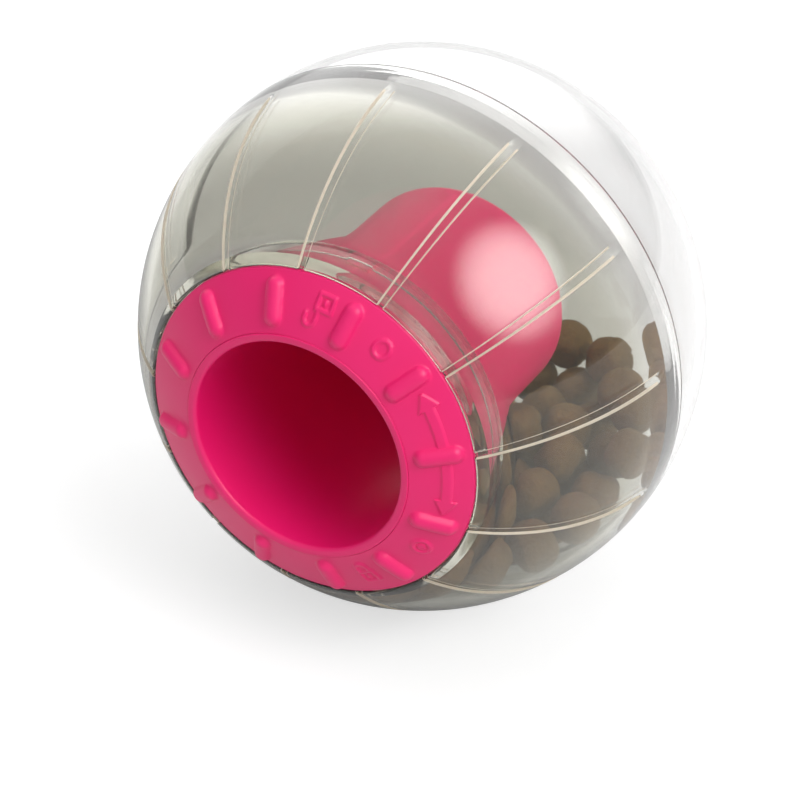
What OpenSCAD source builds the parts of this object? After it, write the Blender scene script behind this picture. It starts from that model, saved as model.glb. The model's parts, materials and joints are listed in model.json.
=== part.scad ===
// Treat ball: a see-through ball of two halves with a twist-lock mouthpiece.
// The mouth faces -Y, +Z is up and the origin is the centre of the ball.

/* [Ball] */
// Outside diameter of the ball
ball_d = 110; // [100:1:130]
// Wall of both halves
shell_wall = 2; // [1.6:0.1:2.4]
// Length of the rear half's tongue inside the front half
seam_lap = 4; // [3:0.5:5]
// Clearance between the two halves at the seam
seam_gap = 0.05; // [0.02:0.01:0.1]

/* [Flutes] */
// Number of grooves along the front half
flute_count = 13; // [6:1:20]
// Width of a groove, as an angle about the mouth's axis
flute_angle = 2.2; // [1:0.1:4]
// Depth of a groove
flute_depth = 0.5; // [0.2:0.1:0.8]
// Angle of the first groove, counted from the right-hand side
flute_start = 9.6; // [0:0.1:27]
// Distance from the seam to the end of a groove
flute_stop = 6; // [5:0.5:12]

/* [Lock ring] */
// Outside diameter of the ring
ring_d = 67.8; // [66:0.2:74]
// Depth of the ring's edge below the ball's surface
ring_set = 0.5; // [0.2:0.1:1]
// Thickness of the ring at its edge
ring_edge = 2.2; // [1.8:0.1:3]
// Radius of the ring's domed face
ring_dome = 63; // [58:1:80]
// Bevel round the ring's edge
ring_bevel = 0.7; // [0.3:0.1:1]

/* [Grips] */
// Number of raised grips on the ring
grip_count = 12; // [6:1:16]
// Length of a grip
grip_len = 9.4; // [6:0.1:9.6]
// Width of a grip
grip_w = 3.8; // [2.4:0.1:4]
// Height of a grip above the ring's face
grip_h = 1.4; // [0.8:0.1:1.6]
// Angle of the first grip, counted from the right-hand side
grip_start = 11; // [0:1:30]

/* [Treat tube] */
// Bore of the tube
tube_bore = 43; // [38:0.2:44]
// Wall of the tube
tube_wall = 1.2; // [1:0.1:1.8]
// Distance of the closed end behind the ball's centre
tube_reach = 16.7; // [14:0.1:24]
// Round of the closed end's edge
tube_round = 2; // [1:0.1:4]
// Overhang of the lip round the tube
lip_over = 0.6; // [0.5:0.1:1.5]
// Thickness of the lip
lip_h = 1.9; // [1.5:0.1:2.4]
// Height of the lip above the ring's face
lip_rise = 0.3; // [0.2:0.1:1.2]

/* [Treat window] */
// Width of the window in the tube's wall
window_w = 12.5; // [12:0.5:18]
// Length of the window along the tube
window_len = 14.5; // [13:0.5:16]
// Distance of the window's near end in front of the ball's centre
window_front = 2; // [0:0.5:2.5]
// Direction of the window, counted from the right-hand side
window_angle = 216; // [200:1:250]

/* [Twist lock] */
// Wall of the ring's barrel
barrel_wall = 1.8; // [1.4:0.1:2.2]
// Length of the barrel below its lugs
barrel_foot = 0.6; // [0.4:0.1:1]
// Number of locking lugs
lug_count = 3; // [2:1:3]
// Width of a lug, in degrees
lug_angle = 30; // [20:1:32]
// Reach of a lug beyond the barrel
lug_reach = 1.4; // [1:0.1:1.8]
// Thickness of a lug
lug_h = 2; // [1.5:0.1:2.5]
// Play beside a lug in its way in, in degrees
lug_play = 3; // [2:0.5:4]
// Turn from unlocked to locked, in degrees
twist_turn = 50; // [40:1:56]
// Width of a turning stop, in degrees
stop_angle = 4; // [3:0.5:6]
// Play between a lug and its stop, in degrees
stop_play = 1.5; // [1:0.5:2]
// Wall of the collar behind the port
collar_wall = 1.6; // [1.2:0.1:2]
// Length of the collar behind the seat
collar_len = 12.3; // [10:0.1:15]
// Thickness of the guide at the collar's end
guide_h = 1.6; // [1.2:0.1:2.4]
// Height of the bead that keeps the ring on the tube
bead_reach = 0.8; // [0.5:0.1:1.2]
// Thickness of that bead
bead_h = 1.2; // [0.8:0.1:1.6]
// Width of the key that stops the tube from turning
key_w = 4; // [3:0.1:6]
// Height of the key
key_h = 1.2; // [0.8:0.1:1.6]
// Length of the key along the tube
key_len = 5; // [4:0.5:7]
// Direction of the key, counted from the right-hand side
key_angle = 90; // [60:1:120]

/* [Clearances] */
// Running fit of the ring on the tube, on the radius
run_gap = 0.08; // [0.04:0.01:0.1]
// Gap between faces that pass each other
free_gap = 0.3; // [0.2:0.05:0.4]

/* [Treats] */
// Width of one treat
treat_w = 9.6; // [8:0.1:11]
// Thickness of one treat
treat_h = 8.4; // [7:0.1:10]
// Diameter of the ball that rounds a treat's corners
treat_round = 10.5; // [9.5:0.1:11.5]
// Depth of the middle of the pile's top below the ball's centre
pile_drop = 25; // [24:0.5:38]
// Slope of the pile's top
pile_bank = 0.15; // [0:0.01:0.25]
// Direction that the pile is banked up to, counted from the right-hand side
pile_angle = 53; // [0:1:180]
// Wander of the treats from even rows
pile_jitter = 2.5; // [0:0.1:3]

/* [Hidden] */
$fn = 96;

// The solids are drawn with the mouth facing up and then laid down.
// Sizes below ending in _z are heights towards the mouth, those in _r are radii about its axis.
ball_r = ball_d / 2;
inner_r = ball_r - shell_wall;
mid_r = ball_r - shell_wall / 2;
ring_r = ring_d / 2;
edge_z = sqrt(ball_r * ball_r - ring_r * ring_r) - ring_set;
under_z = edge_z - ring_edge;
seat_z = under_z - free_gap;
seat_under_z = seat_z - shell_wall;
port_r = ring_r + free_gap;
seat_out_r = sqrt(ball_r * ball_r - seat_z * seat_z);
seat_in_r = sqrt(inner_r * inner_r - seat_under_z * seat_under_z);
seat_r = (seat_out_r + seat_in_r) / 2;

bore_r = tube_bore / 2;
tube_r = bore_r + tube_wall;
hub_r = tube_r + run_gap;
barrel_r = hub_r + barrel_wall;
way_r = barrel_r + free_gap;
lug_r = barrel_r + lug_reach;
collar_in_r = lug_r + free_gap;
collar_r = collar_in_r + collar_wall;
guide_r = tube_r + free_gap;
lip_r = tube_r + lip_over;
lip_hole_r = lip_r + free_gap;
lip_half = (lip_r - bore_r) / 2;
lip_z = face_z(lip_hole_r) + lip_rise;
lip_under_z = lip_z - lip_h;
lug_top_z = seat_under_z - free_gap;
lug_z = lug_top_z - lug_h;
barrel_z = lug_z - barrel_foot;
bead_top_z = barrel_z - free_gap;
collar_z = seat_under_z - collar_len;
key_z = collar_z + (guide_h - key_len) / 2;

lug_step = 360 / lug_count;
// Overlap of the shapes that make one solid, and a length that reaches past the whole ball
weld = 0.4;
beyond = 2 * ball_d;

// The treats are laid in rows and layers, pushed at random, sunk and then left to come to rest.
treat_r = treat_round / 2;
treat_gap = 0.1;
treat_pitch = treat_round + treat_gap;
treat_reach = inner_r - treat_r - free_gap / 2;
layer_step = 0.85 * treat_pitch;
row_limit = 75;
row_shift = 0.4;
stray_seed = 7;
turn_seed = 11;
sink_steps = 24;
sink_by = 0.12;
rest_steps = 160;

// Height of the ring's face at a radius
function dome_z(r) = sqrt(ring_dome * ring_dome - r * r);
function face_z(r) = edge_z + dome_z(r) - dome_z(ring_r);
// Slope of the ring's face at a radius, in degrees
function face_slope(r) = asin(r / ring_dome);

// Lays a solid that is drawn with its mouth up, so that the mouth faces -Y
module lay() {
    rotate([90, 0, 0]) children();
}

// A block turned about the mouth's axis, between two radii and two heights
module arc_block(from, turn, r1, r2, z1, z2) {
    rotate([0, 0, from])
        rotate_extrude(angle = turn)
            translate([r1, z1])
                square([r2 - r1, z2 - z1]);
}

// The half of a section that lies between two heights, on the positive side of the axis
module band(z1, z2) {
    intersection() {
        children();
        translate([0, z1]) square([beyond, z2 - z1]);
    }
}

// Section of the front half: ball wall, seat for the ring and collar
module front_section() {
    band(seam_gap, beyond) difference() {
        circle(r = ball_r);
        circle(r = inner_r);
        band(-weld, seam_lap + free_gap) circle(r = mid_r);
        square([port_r, beyond]);
    }
    intersection() {
        circle(r = ball_r);
        union() {
            translate([collar_in_r, seat_under_z]) square([seat_r - collar_in_r, shell_wall]);
            translate([port_r, seat_under_z]) square([seat_r - port_r, beyond]);
        }
    }
    translate([collar_in_r, collar_z]) square([collar_wall, collar_len + weld]);
    translate([guide_r, collar_z]) square([collar_in_r - guide_r + weld, guide_h]);
}

// One groove, cut from the seam end up to the ring
module flute() {
    rotate([0, 0, -flute_angle / 2])
        rotate_extrude(angle = flute_angle)
            band(flute_stop, beyond) difference() {
                circle(r = ball_r + weld);
                circle(r = ball_r - flute_depth);
            }
}

// A block under the lock's lip that ends the turn of a lug
module stop(from) {
    arc_block(from, stop_angle, way_r + free_gap, collar_in_r + weld, lug_z, seat_under_z + weld);
}

module front_shell() {
    color([0.58, 0.59, 0.53, 0.45]) lay() {
        difference() {
            rotate_extrude() front_section();
            for (i = [0 : flute_count - 1])
                rotate([0, 0, flute_start + i * 360 / flute_count]) flute();
            rotate([0, 0, key_angle])
                translate([0, -key_w / 2 - free_gap, collar_z - weld])
                    cube([tube_r + key_h + free_gap, key_w + 2 * free_gap, guide_h + 2 * weld]);
        }
        for (i = [0 : lug_count - 1]) {
            arc_block(i * lug_step + lug_angle / 2 + lug_play, lug_step - lug_angle - 2 * lug_play,
                      way_r, collar_in_r + weld, seat_under_z, seat_z);
            stop(i * lug_step + lug_angle / 2 + lug_play + stop_play);
            stop(i * lug_step - twist_turn - lug_angle / 2 - stop_play - stop_angle);
        }
    }
}

module rear_shell() {
    color([0.95, 0.95, 0.97, 0.3]) lay()
        rotate_extrude() {
            band(-beyond, -seam_gap) difference() {
                circle(r = ball_r);
                circle(r = inner_r);
            }
            band(-weld, seam_lap) difference() {
                circle(r = mid_r - seam_gap);
                circle(r = inner_r);
            }
        }
}

// One raised grip, a capsule sunk into the ring's face
module grip() {
    end_r = grip_w / 2;
    middle_r = (lip_hole_r + ring_r) / 2;
    translate([middle_r, 0, face_z(middle_r)])
        rotate([0, 90 + face_slope(middle_r), 0])
            translate([end_r - grip_h, 0, -grip_len / 2])
                rotate_extrude() intersection() {
                    union() {
                        translate([0, end_r]) circle(r = end_r);
                        translate([0, grip_len - end_r]) circle(r = end_r);
                        translate([0, end_r]) square([end_r, grip_len - grip_w]);
                    }
                    square([end_r, grip_len]);
                }
}

module lock_ring() {
    color([0.93, 0.22, 0.46]) lay() {
        rotate_extrude() intersection() {
            polygon([
                [hub_r, barrel_z],
                [barrel_r, barrel_z],
                [barrel_r, under_z],
                [ring_r, under_z],
                [ring_r, edge_z - ring_bevel],
                [ring_r - ring_bevel, face_z(ring_r - ring_bevel)],
                [ring_r - ring_bevel, beyond],
                [lip_hole_r, beyond],
                [lip_hole_r, lip_under_z - free_gap],
                [hub_r, lip_under_z - free_gap]
            ]);
            translate([0, face_z(ring_r) - dome_z(ring_r)]) circle(r = ring_dome);
        }
        for (i = [0 : grip_count - 1])
            rotate([0, 0, grip_start + i * 360 / grip_count]) grip();
        for (i = [0 : lug_count - 1])
            arc_block(i * lug_step - lug_angle / 2, lug_angle, barrel_r - weld, lug_r, lug_z, lug_top_z);
    }
}

// Section of the tube: closed cup, round lip and the bead behind the ring
module tube_section() {
    difference() {
        union() {
            translate([0, -tube_reach]) square([tube_r - tube_round, tube_round]);
            translate([tube_r - tube_round, tube_round - tube_reach]) circle(r = tube_round);
            translate([0, tube_round - tube_reach])
                square([tube_r, lip_z - lip_half + tube_reach - tube_round]);
            translate([bore_r, lip_under_z]) square([lip_r - bore_r, lip_h - lip_half]);
            band(lip_z - lip_half, lip_z)
                translate([(bore_r + lip_r) / 2, lip_z - lip_half]) circle(r = lip_half);
            translate([tube_r - weld, bead_top_z - bead_h]) square([bead_reach + weld, bead_h]);
        }
        translate([-beyond, tube_wall - tube_reach]) square([beyond + bore_r, beyond]);
    }
}

module treat_tube() {
    color([0.93, 0.24, 0.48]) lay() {
        difference() {
            rotate_extrude() tube_section();
            rotate([0, 0, window_angle])
                translate([0, 0, window_front])
                    rotate([0, 90, 0])
                        linear_extrude(beyond) {
                            translate([window_w / 2, 0]) circle(d = window_w);
                            translate([window_len - window_w / 2, 0]) circle(d = window_w);
                            translate([window_w / 2, -window_w / 2])
                                square([window_len - window_w, window_w]);
                        }
        }
        rotate([0, 0, key_angle])
            translate([tube_r - weld, -key_w / 2, key_z])
                cube([key_h + weld, key_w, key_len]);
    }
}

// Treats start in rows on shells inside the ball, up to the pile's sloping top
function pile_top(p) = -pile_drop + pile_bank * (p.x * cos(pile_angle) + p.y * sin(pile_angle));
function row_point(r, a, t) = r * [sin(a) * cos(t), sin(a) * sin(t), -cos(a)];
function row_count(r, a) = max(1, floor(2 * PI * r * sin(a) / treat_pitch));
function row_step(r) = treat_pitch / r * 180 / PI;
pile_rows = [
    for (r = [treat_reach : -layer_step : pile_drop - layer_step])
        for (a = [0 : row_step(r) : row_limit])
            [r, a, row_count(r, a)]
];
function pile_start() = [
    for (i = [0 : len(pile_rows) - 1])
        let (r = pile_rows[i][0], a = pile_rows[i][1], n = pile_rows[i][2])
            for (k = [0 : n - 1])
                let (p = row_point(r, a, (k + i * row_shift) * 360 / n))
                    if (p.z <= pile_top(p)) p
];

// Neighbours push each other apart a little at a time, inside the wall and clear of the tube
function total(list) = [for (v = list) 1] * list;
function push_from(p, q) = p == q || norm(p - q) >= treat_pitch ? [0, 0, 0]
    : (p - q) / norm(p - q) * (treat_pitch - norm(p - q)) / 2;
function keep_r(p) = (-p.y > collar_z - treat_r ? collar_r : -p.y > -tube_reach - treat_r ? tube_r : 0)
    + treat_r + free_gap;
function below_tube(p) = norm([p.x, p.z]) >= keep_r(p) ? p
    : [p.x * keep_r(p) / norm([p.x, p.z]), p.y, p.z * keep_r(p) / norm([p.x, p.z])];
function behind_seat(p) = [p.x, max(p.y, treat_r + free_gap / 2 - seat_under_z), p.z];
function in_ball(p) = norm(p) <= treat_reach ? p : p * treat_reach / norm(p);
function in_wall(p) = in_ball(behind_seat(p));
function settled(ps, sink, steps) = steps == 0 ? ps
    : settled([for (p = ps) in_wall(below_tube(p + total([for (q = ps) push_from(p, q)]) - [0, 0, sink]))],
              sink, steps - 1);

module treats() {
    start = pile_start();
    count = len(start);
    stray = rands(-pile_jitter, pile_jitter, 3 * count, stray_seed);
    turn = rands(0, 360, 3 * count, turn_seed);
    moved = [
        for (i = [0 : count - 1])
            in_wall(start[i] + [stray[3 * i], stray[3 * i + 1], stray[3 * i + 2]])
    ];
    pile = settled(settled(moved, sink_by, sink_steps), 0, rest_steps);
    color([0.42, 0.3, 0.18])
        for (i = [0 : count - 1])
            translate(pile[i])
                rotate([turn[3 * i], turn[3 * i + 1], turn[3 * i + 2]])
                    intersection() {
                        sphere(d = treat_round);
                        cube([treat_w, treat_w, treat_h], center = true);
                    }
}

front_shell();
rear_shell();
lock_ring();
treat_tube();
treats();
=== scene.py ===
# %% [markdown]
# # A see-through treat ball
#
# This lesson dresses a rolling treat ball: two half balls of clear plastic, a pink mouthpiece that locks
# with a twist, and the baked treats inside. The parts already have their real size and place, and this
# script never moves them. It models each part again with smooth curves and rounded edges, gives it the
# finish of the real one, and sets up the floor, the light and the camera.

import json
import math

import bmesh
import bpy
from mathutils import Matrix, Vector, noise


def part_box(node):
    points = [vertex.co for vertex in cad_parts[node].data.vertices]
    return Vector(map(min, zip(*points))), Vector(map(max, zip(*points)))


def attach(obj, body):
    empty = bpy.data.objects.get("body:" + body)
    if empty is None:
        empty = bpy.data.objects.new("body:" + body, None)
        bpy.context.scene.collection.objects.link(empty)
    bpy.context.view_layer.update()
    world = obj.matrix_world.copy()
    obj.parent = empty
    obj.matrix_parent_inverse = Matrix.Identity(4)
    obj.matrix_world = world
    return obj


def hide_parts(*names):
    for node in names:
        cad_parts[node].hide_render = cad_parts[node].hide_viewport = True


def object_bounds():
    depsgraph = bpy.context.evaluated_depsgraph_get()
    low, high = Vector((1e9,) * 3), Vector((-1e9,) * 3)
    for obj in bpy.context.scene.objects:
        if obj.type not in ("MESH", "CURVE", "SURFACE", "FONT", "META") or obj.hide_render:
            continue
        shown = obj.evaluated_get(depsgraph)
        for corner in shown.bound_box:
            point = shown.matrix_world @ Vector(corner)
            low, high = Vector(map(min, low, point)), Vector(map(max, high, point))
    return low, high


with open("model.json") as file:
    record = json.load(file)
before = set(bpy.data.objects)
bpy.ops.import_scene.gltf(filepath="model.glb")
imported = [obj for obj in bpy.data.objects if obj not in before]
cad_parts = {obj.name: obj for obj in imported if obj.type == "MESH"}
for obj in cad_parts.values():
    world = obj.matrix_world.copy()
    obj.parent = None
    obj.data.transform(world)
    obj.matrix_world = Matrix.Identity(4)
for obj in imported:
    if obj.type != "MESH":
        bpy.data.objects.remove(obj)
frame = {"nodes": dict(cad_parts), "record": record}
cad_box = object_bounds()
print("Parts:", sorted(frame["nodes"]))

# %% [markdown]
# ## The sizes
#
# Nearly everything on this ball is round about one axis, the axis of the mouth. It is easiest to draw such
# parts with the mouth facing up, in millimetres, as outlines of a radius and a height. At the end each mesh
# is laid down, so that the mouth faces -Y, and shrunk to metres. The main sizes are measured on the parts.

# %% Measure the main sizes
MM = 0.001
LAY_DOWN = Matrix.Rotation(math.radians(90), 4, "X") @ Matrix.Scale(MM, 4)
LOW, HIGH = 0, 1
ACROSS, ALONG = 0, 1


def measured(node, corner, axis):
    """How far a side of a part's box lies from the ball's centre, in millimetres."""
    return round(abs(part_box(node)[corner][axis]) / MM, 2)


ball_r = round(measured("rear_shell", HIGH, ACROSS))
ring_r = measured("lock_ring", HIGH, ACROSS)
lip_z = measured("treat_tube", LOW, ALONG)
cup_end = measured("treat_tube", HIGH, ALONG)
barrel_z = measured("lock_ring", HIGH, ALONG)
bore_r = frame["record"]["mounts"][0]["dims"]["r_mm"]
print(f"Ball {ball_r} mm, ring {ring_r} mm, bore {bore_r} mm, all as radii")

# %% [markdown]
# ## The camera
#
# The camera comes first. The ball's outline, the ring and the seam in the photograph give the direction
# that it is seen from, and the narrowing of the ring gives the distance. A long lens then brings the ball
# to its size in the picture.

# %% Set up the camera
PICTURE_PX = 800
BALL_AT_PX = (422.3, 326.6)
FOCAL_PX = 3120
VIEW_AZIMUTH = math.radians(28.8)
VIEW_ELEVATION = math.radians(32.65)
CAMERA_DISTANCE = 0.605
SENSOR_WIDTH = 36


def in_scene(name, data):
    """Makes an object and puts it into the scene."""
    made = bpy.data.objects.new(name, data)
    bpy.context.scene.collection.objects.link(made)
    return made


back = Vector((
    math.sin(VIEW_AZIMUTH) * math.cos(VIEW_ELEVATION),
    -math.cos(VIEW_AZIMUTH) * math.cos(VIEW_ELEVATION),
    math.sin(VIEW_ELEVATION),
))
right = Vector((math.cos(VIEW_AZIMUTH), math.sin(VIEW_AZIMUTH), 0))
up = back.cross(right)
right_share = (BALL_AT_PX[0] - PICTURE_PX / 2) / FOCAL_PX
up_share = (PICTURE_PX / 2 - BALL_AT_PX[1]) / FOCAL_PX
to_ball = (right_share * right + up_share * up - back).normalized()

camera_data = bpy.data.cameras.new("camera")
camera_data.sensor_width = SENSOR_WIDTH
camera_data.lens = SENSOR_WIDTH * FOCAL_PX / PICTURE_PX
camera = in_scene("camera", camera_data)
camera.matrix_world = Matrix((
    (right.x, up.x, back.x, -CAMERA_DISTANCE * to_ball.x),
    (right.y, up.y, back.y, -CAMERA_DISTANCE * to_ball.y),
    (right.z, up.z, back.z, -CAMERA_DISTANCE * to_ball.z),
    (0, 0, 0, 1),
))
bpy.context.scene.camera = camera
print(f"Lens {camera_data.lens:.0f} mm, {CAMERA_DISTANCE} m from the ball")

# %% [markdown]
# ## Shader maths
#
# A finish is a small graph of shader nodes. Wiring nodes by hand is long to read, so this class wraps one
# output socket and lets Python's own operators add the Math nodes. Every other kind of node comes from
# its `node` method, which sets the node up first and then fills or links its inputs.


# %% Wrap a shader socket
class Wire:
    """One output of a shader graph, which can be used in sums."""

    def __init__(self, tree, socket=None):
        self.tree = tree
        self.socket = socket

    def node(self, kind, settings, inputs, output=0):
        """A new node of some kind, as a wire from one of its outputs."""
        made = self.tree.nodes.new(kind)
        for name, value in settings.items():
            if name == "stops":
                stops = made.color_ramp.elements
                while len(stops) < len(value):
                    stops.new(1)
                for stop, (place, colour) in zip(stops, value):
                    stop.position = place
                    stop.color = (*colour, 1)
            else:
                setattr(made, name, value)
        for name, value in inputs.items():
            if isinstance(value, Wire):
                self.tree.links.new(value.socket, made.inputs[name])
            else:
                made.inputs[name].default_value = value
        return Wire(self.tree, made.outputs[output])

    def maths(self, operation, first, second):
        return self.node("ShaderNodeMath", {"operation": operation}, {0: first, 1: second})

    def __add__(self, other):
        return self.maths("ADD", self, other)

    def __sub__(self, other):
        return self.maths("SUBTRACT", self, other)

    def __rsub__(self, other):
        return self.maths("SUBTRACT", other, self)

    def __mul__(self, other):
        return self.maths("MULTIPLY", self, other)

    __radd__ = __add__
    __rmul__ = __mul__

    def grain(self, size, detail=2, roughness=0.5):
        """Noise whose lumps are about one size, in metres, around a value of a half."""
        inputs = {"Vector": self, "Scale": 1 / size, "Detail": detail, "Roughness": roughness}
        return self.node("ShaderNodeTexNoise", {}, inputs)

    def bump(self, height, strength):
        """The surface's normal, tilted by a height in metres."""
        inputs = {"Height": height, "Strength": strength, "Distance": 1}
        return self.node("ShaderNodeBump", {}, inputs)

    def blend(self, share, first, second):
        """A colour between two others."""
        inputs = {0: share, 6: (*first, 1), 7: (*second, 1)}
        return self.node("ShaderNodeMix", {"data_type": "RGBA"}, inputs, 2)

    def ramp(self, *stops):
        """A colour from the stops of a ramp."""
        return self.node("ShaderNodeValToRGB", {"stops": stops}, {"Fac": self})


def start_finish(name):
    """An empty material, and a wire with the places on the piece in metres."""
    finish = bpy.data.materials.new(name)
    finish.use_nodes = True
    tree = finish.node_tree
    tree.nodes.clear()
    place = Wire(tree).node("ShaderNodeTexCoord", {}, {}, "Object")
    return finish, place


def show(surface):
    """Links a finished shader to its output."""
    world = isinstance(surface.tree.id_data, bpy.types.World)
    output = surface.tree.nodes.new("ShaderNodeOutputWorld" if world else "ShaderNodeOutputMaterial")
    surface.tree.links.new(surface.socket, output.inputs["Surface"])


print("Operators ready:", [name for name in ("__add__", "__sub__", "__mul__") if hasattr(Wire, name)])

# %% [markdown]
# ## Clear plastic
#
# The two halves are moulded in a hard, polished plastic that bends light about as much as acrylic. Its
# surface is smooth, with a faint haze from handling. The front half is tinted with smoke. The tint is set
# on the surface, as the share of light that passes one wall, so that a long way through a rim or the collar
# doesn't turn black. It fades out towards the lapped seam, and is pale in the collar inside the ball. Lamps
# can't shine through a refracting surface without a great many samples, so rays towards a lamp meet a plain
# see-through shader instead.

# %% Make the two clear finishes
PLASTIC_IOR = 1.5
SMOKE_THROUGH = (0.67, 0.665, 0.575)
THIN_THROUGH = (0.95, 0.95, 0.935)
CLEAR_THROUGH = (0.965, 0.965, 0.962)
SMOKE_CLEARNESS, CLEAR_CLEARNESS = 0.985, 0.97
LAP_PALE, LAP_SMOKE = 1 * MM, 17 * MM
INSIDE_PALE, WALL_SMOKE = 51.6 * MM, 52.9 * MM
POLISH, HAZE = 0.015, 0.03
HAZE_SIZE = 9 * MM
WAVE_SIZE, WAVE_HEIGHT, WAVE_STRENGTH = 14 * MM, 0.02 * MM, 0.15


def smooth_range(wire, low, high):
    """0 below one value, 1 above another, and a soft rise between them."""
    settings = {"interpolation_type": "SMOOTHSTEP"}
    return wire.node("ShaderNodeMapRange", settings, {0: wire, 1: low, 2: high})


def smoke_tint(place):
    """The tint of the front half: full in the ball's wall, and pale at the seam and in the collar."""
    far_out = place.node("ShaderNodeVectorMath", {"operation": "LENGTH"}, {0: place}, "Value")
    to_mouth = place.node("ShaderNodeSeparateXYZ", {}, {0: place}, "Y") * -1
    full = smooth_range(to_mouth, LAP_PALE, LAP_SMOKE) * smooth_range(far_out, INSIDE_PALE, WALL_SMOKE)
    return place.blend(full, THIN_THROUGH, SMOKE_THROUGH)


def clear_plastic(name, tint, clearness):
    """Polished plastic with a tint for each wall, and with a little haze."""
    finish, place = start_finish(name)
    haze = place.grain(HAZE_SIZE, detail=4, roughness=0.6)
    waves = place.grain(WAVE_SIZE, detail=1, roughness=0.3)
    body = place.node("ShaderNodeBsdfPrincipled", {}, {
        "Base Color": tint(place),
        "Roughness": POLISH + HAZE * haze,
        "IOR": PLASTIC_IOR,
        "Transmission Weight": clearness,
        "Normal": place.bump(waves * WAVE_HEIGHT, WAVE_STRENGTH),
    })
    pane = place.node("ShaderNodeBsdfTransparent", {}, {})
    to_lamp = place.node("ShaderNodeLightPath", {}, {}, "Is Shadow Ray")
    show(place.node("ShaderNodeMixShader", {}, {0: to_lamp, 1: body, 2: pane}))
    print(f"{name}: {clearness:.1%} clear")
    return finish


smoke_plastic = clear_plastic("smoke_plastic", smoke_tint, SMOKE_CLEARNESS)
clear_finish = clear_plastic("clear_plastic", lambda place: (*CLEAR_THROUGH, 1), CLEAR_CLEARNESS)

# %% [markdown]
# Each groove in the front half shows as two bright lines, where its side walls catch the light. These lines
# are
# painted highlights: a rough, half clear plastic of a pale colour on just the groove walls stands in for
# the light that they catch.

# %% Make the painted highlight of the groove walls
# Painted highlight: the pale colour of the groove walls stands in for the light that they catch.
GROOVE_HIGHLIGHT = (0.78, 0.69, 0.55)
GROOVE_HIGHLIGHT_CLEARNESS = 0.35
GROOVE_HIGHLIGHT_ROUGH, GROOVE_HIGHLIGHT_UNEVEN = 0.35, 0.3
GROOVE_HIGHLIGHT_SIZE, GROOVE_HIGHLIGHT_HEIGHT, GROOVE_HIGHLIGHT_STRENGTH = 0.4 * MM, 0.05 * MM, 0.3


def frosted_plastic():
    """Rough, half clear plastic, pale to paint a highlight."""
    finish, place = start_finish("frosted_plastic")
    grains = place.grain(GROOVE_HIGHLIGHT_SIZE, detail=3)
    surface = place.node("ShaderNodeBsdfPrincipled", {}, {
        "Base Color": (*GROOVE_HIGHLIGHT, 1),
        "Roughness": GROOVE_HIGHLIGHT_ROUGH + GROOVE_HIGHLIGHT_UNEVEN * grains,
        "IOR": PLASTIC_IOR,
        "Transmission Weight": GROOVE_HIGHLIGHT_CLEARNESS,
        "Normal": place.bump(grains * GROOVE_HIGHLIGHT_HEIGHT, GROOVE_HIGHLIGHT_STRENGTH),
    })
    show(surface)
    print("frosted_plastic: rough groove walls")
    return finish


groove_highlight = frosted_plastic()

# %% [markdown]
# ## Pink plastic
#
# The mouthpiece is moulded in a solid pink. A moulded part of this kind has a satin skin: the tool that it
# came from was lightly textured, so the gloss is soft and a little uneven, and there are faint flow marks.

# %% Make the pink finish
PINK = (0.85, 0.003, 0.145)
PINK_PALE = (0.9, 0.006, 0.17)
PINK_IOR, PINK_GLOSS = 1.45, 0.7
SATIN, SATIN_UNEVEN = 0.42, 0.1
FLOW_SIZE = 16 * MM
SKIN_SIZE, SKIN_HEIGHT, SKIN_STRENGTH = 0.35 * MM, 0.03 * MM, 0.25


def pink_plastic():
    """Solid pink plastic with a satin skin."""
    finish, place = start_finish("pink_plastic")
    flow = place.grain(FLOW_SIZE, detail=3)
    skin = place.grain(SKIN_SIZE, detail=3)
    surface = place.node("ShaderNodeBsdfPrincipled", {}, {
        "Base Color": place.blend(flow, PINK, PINK_PALE),
        "Roughness": SATIN + SATIN_UNEVEN * flow,
        "IOR": PINK_IOR,
        "Specular IOR Level": PINK_GLOSS,
        "Normal": place.bump(skin * SKIN_HEIGHT, SKIN_STRENGTH),
    })
    show(surface)
    print("pink_plastic: satin skin")
    return finish


pink = pink_plastic()

# %% [markdown]
# ## Baked treats
#
# The treats are small baked pillows. Each came out of the oven a little lighter or darker, so the mesh
# carries one number per treat, and the crust has crumbs, pores and darker scorched patches on top of it.

# %% Make the treat finish
BAKED = "baked"
CRUST_PALE = (0.275, 0.165, 0.055)
CRUST_DARK = (0.11, 0.057, 0.016)
CRUST_IOR = 1.4
CRUST_ROUGH, CRUST_UNEVEN = 0.7, 0.25
BAKED_SHARE, PATCH_SHARE, PALER = 0.45, 0.9, 0.35
PATCH_SIZE = 3.5 * MM
FINE_SIZE, FINE_HEIGHT = 0.7 * MM, 0.35 * MM
PORE_SIZE, PORE_HEIGHT = 1.1 * MM, 0.2 * MM
CRUST_STRENGTH = 0.7
SPOT_DARK, SPOT_NONE = (0.45, 0.4, 0.38), (1, 1, 1)
SPOT_CONTRAST, SPOT_CUT, SPOT_SHARE = 2.4, 0.75, 0.7


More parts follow.
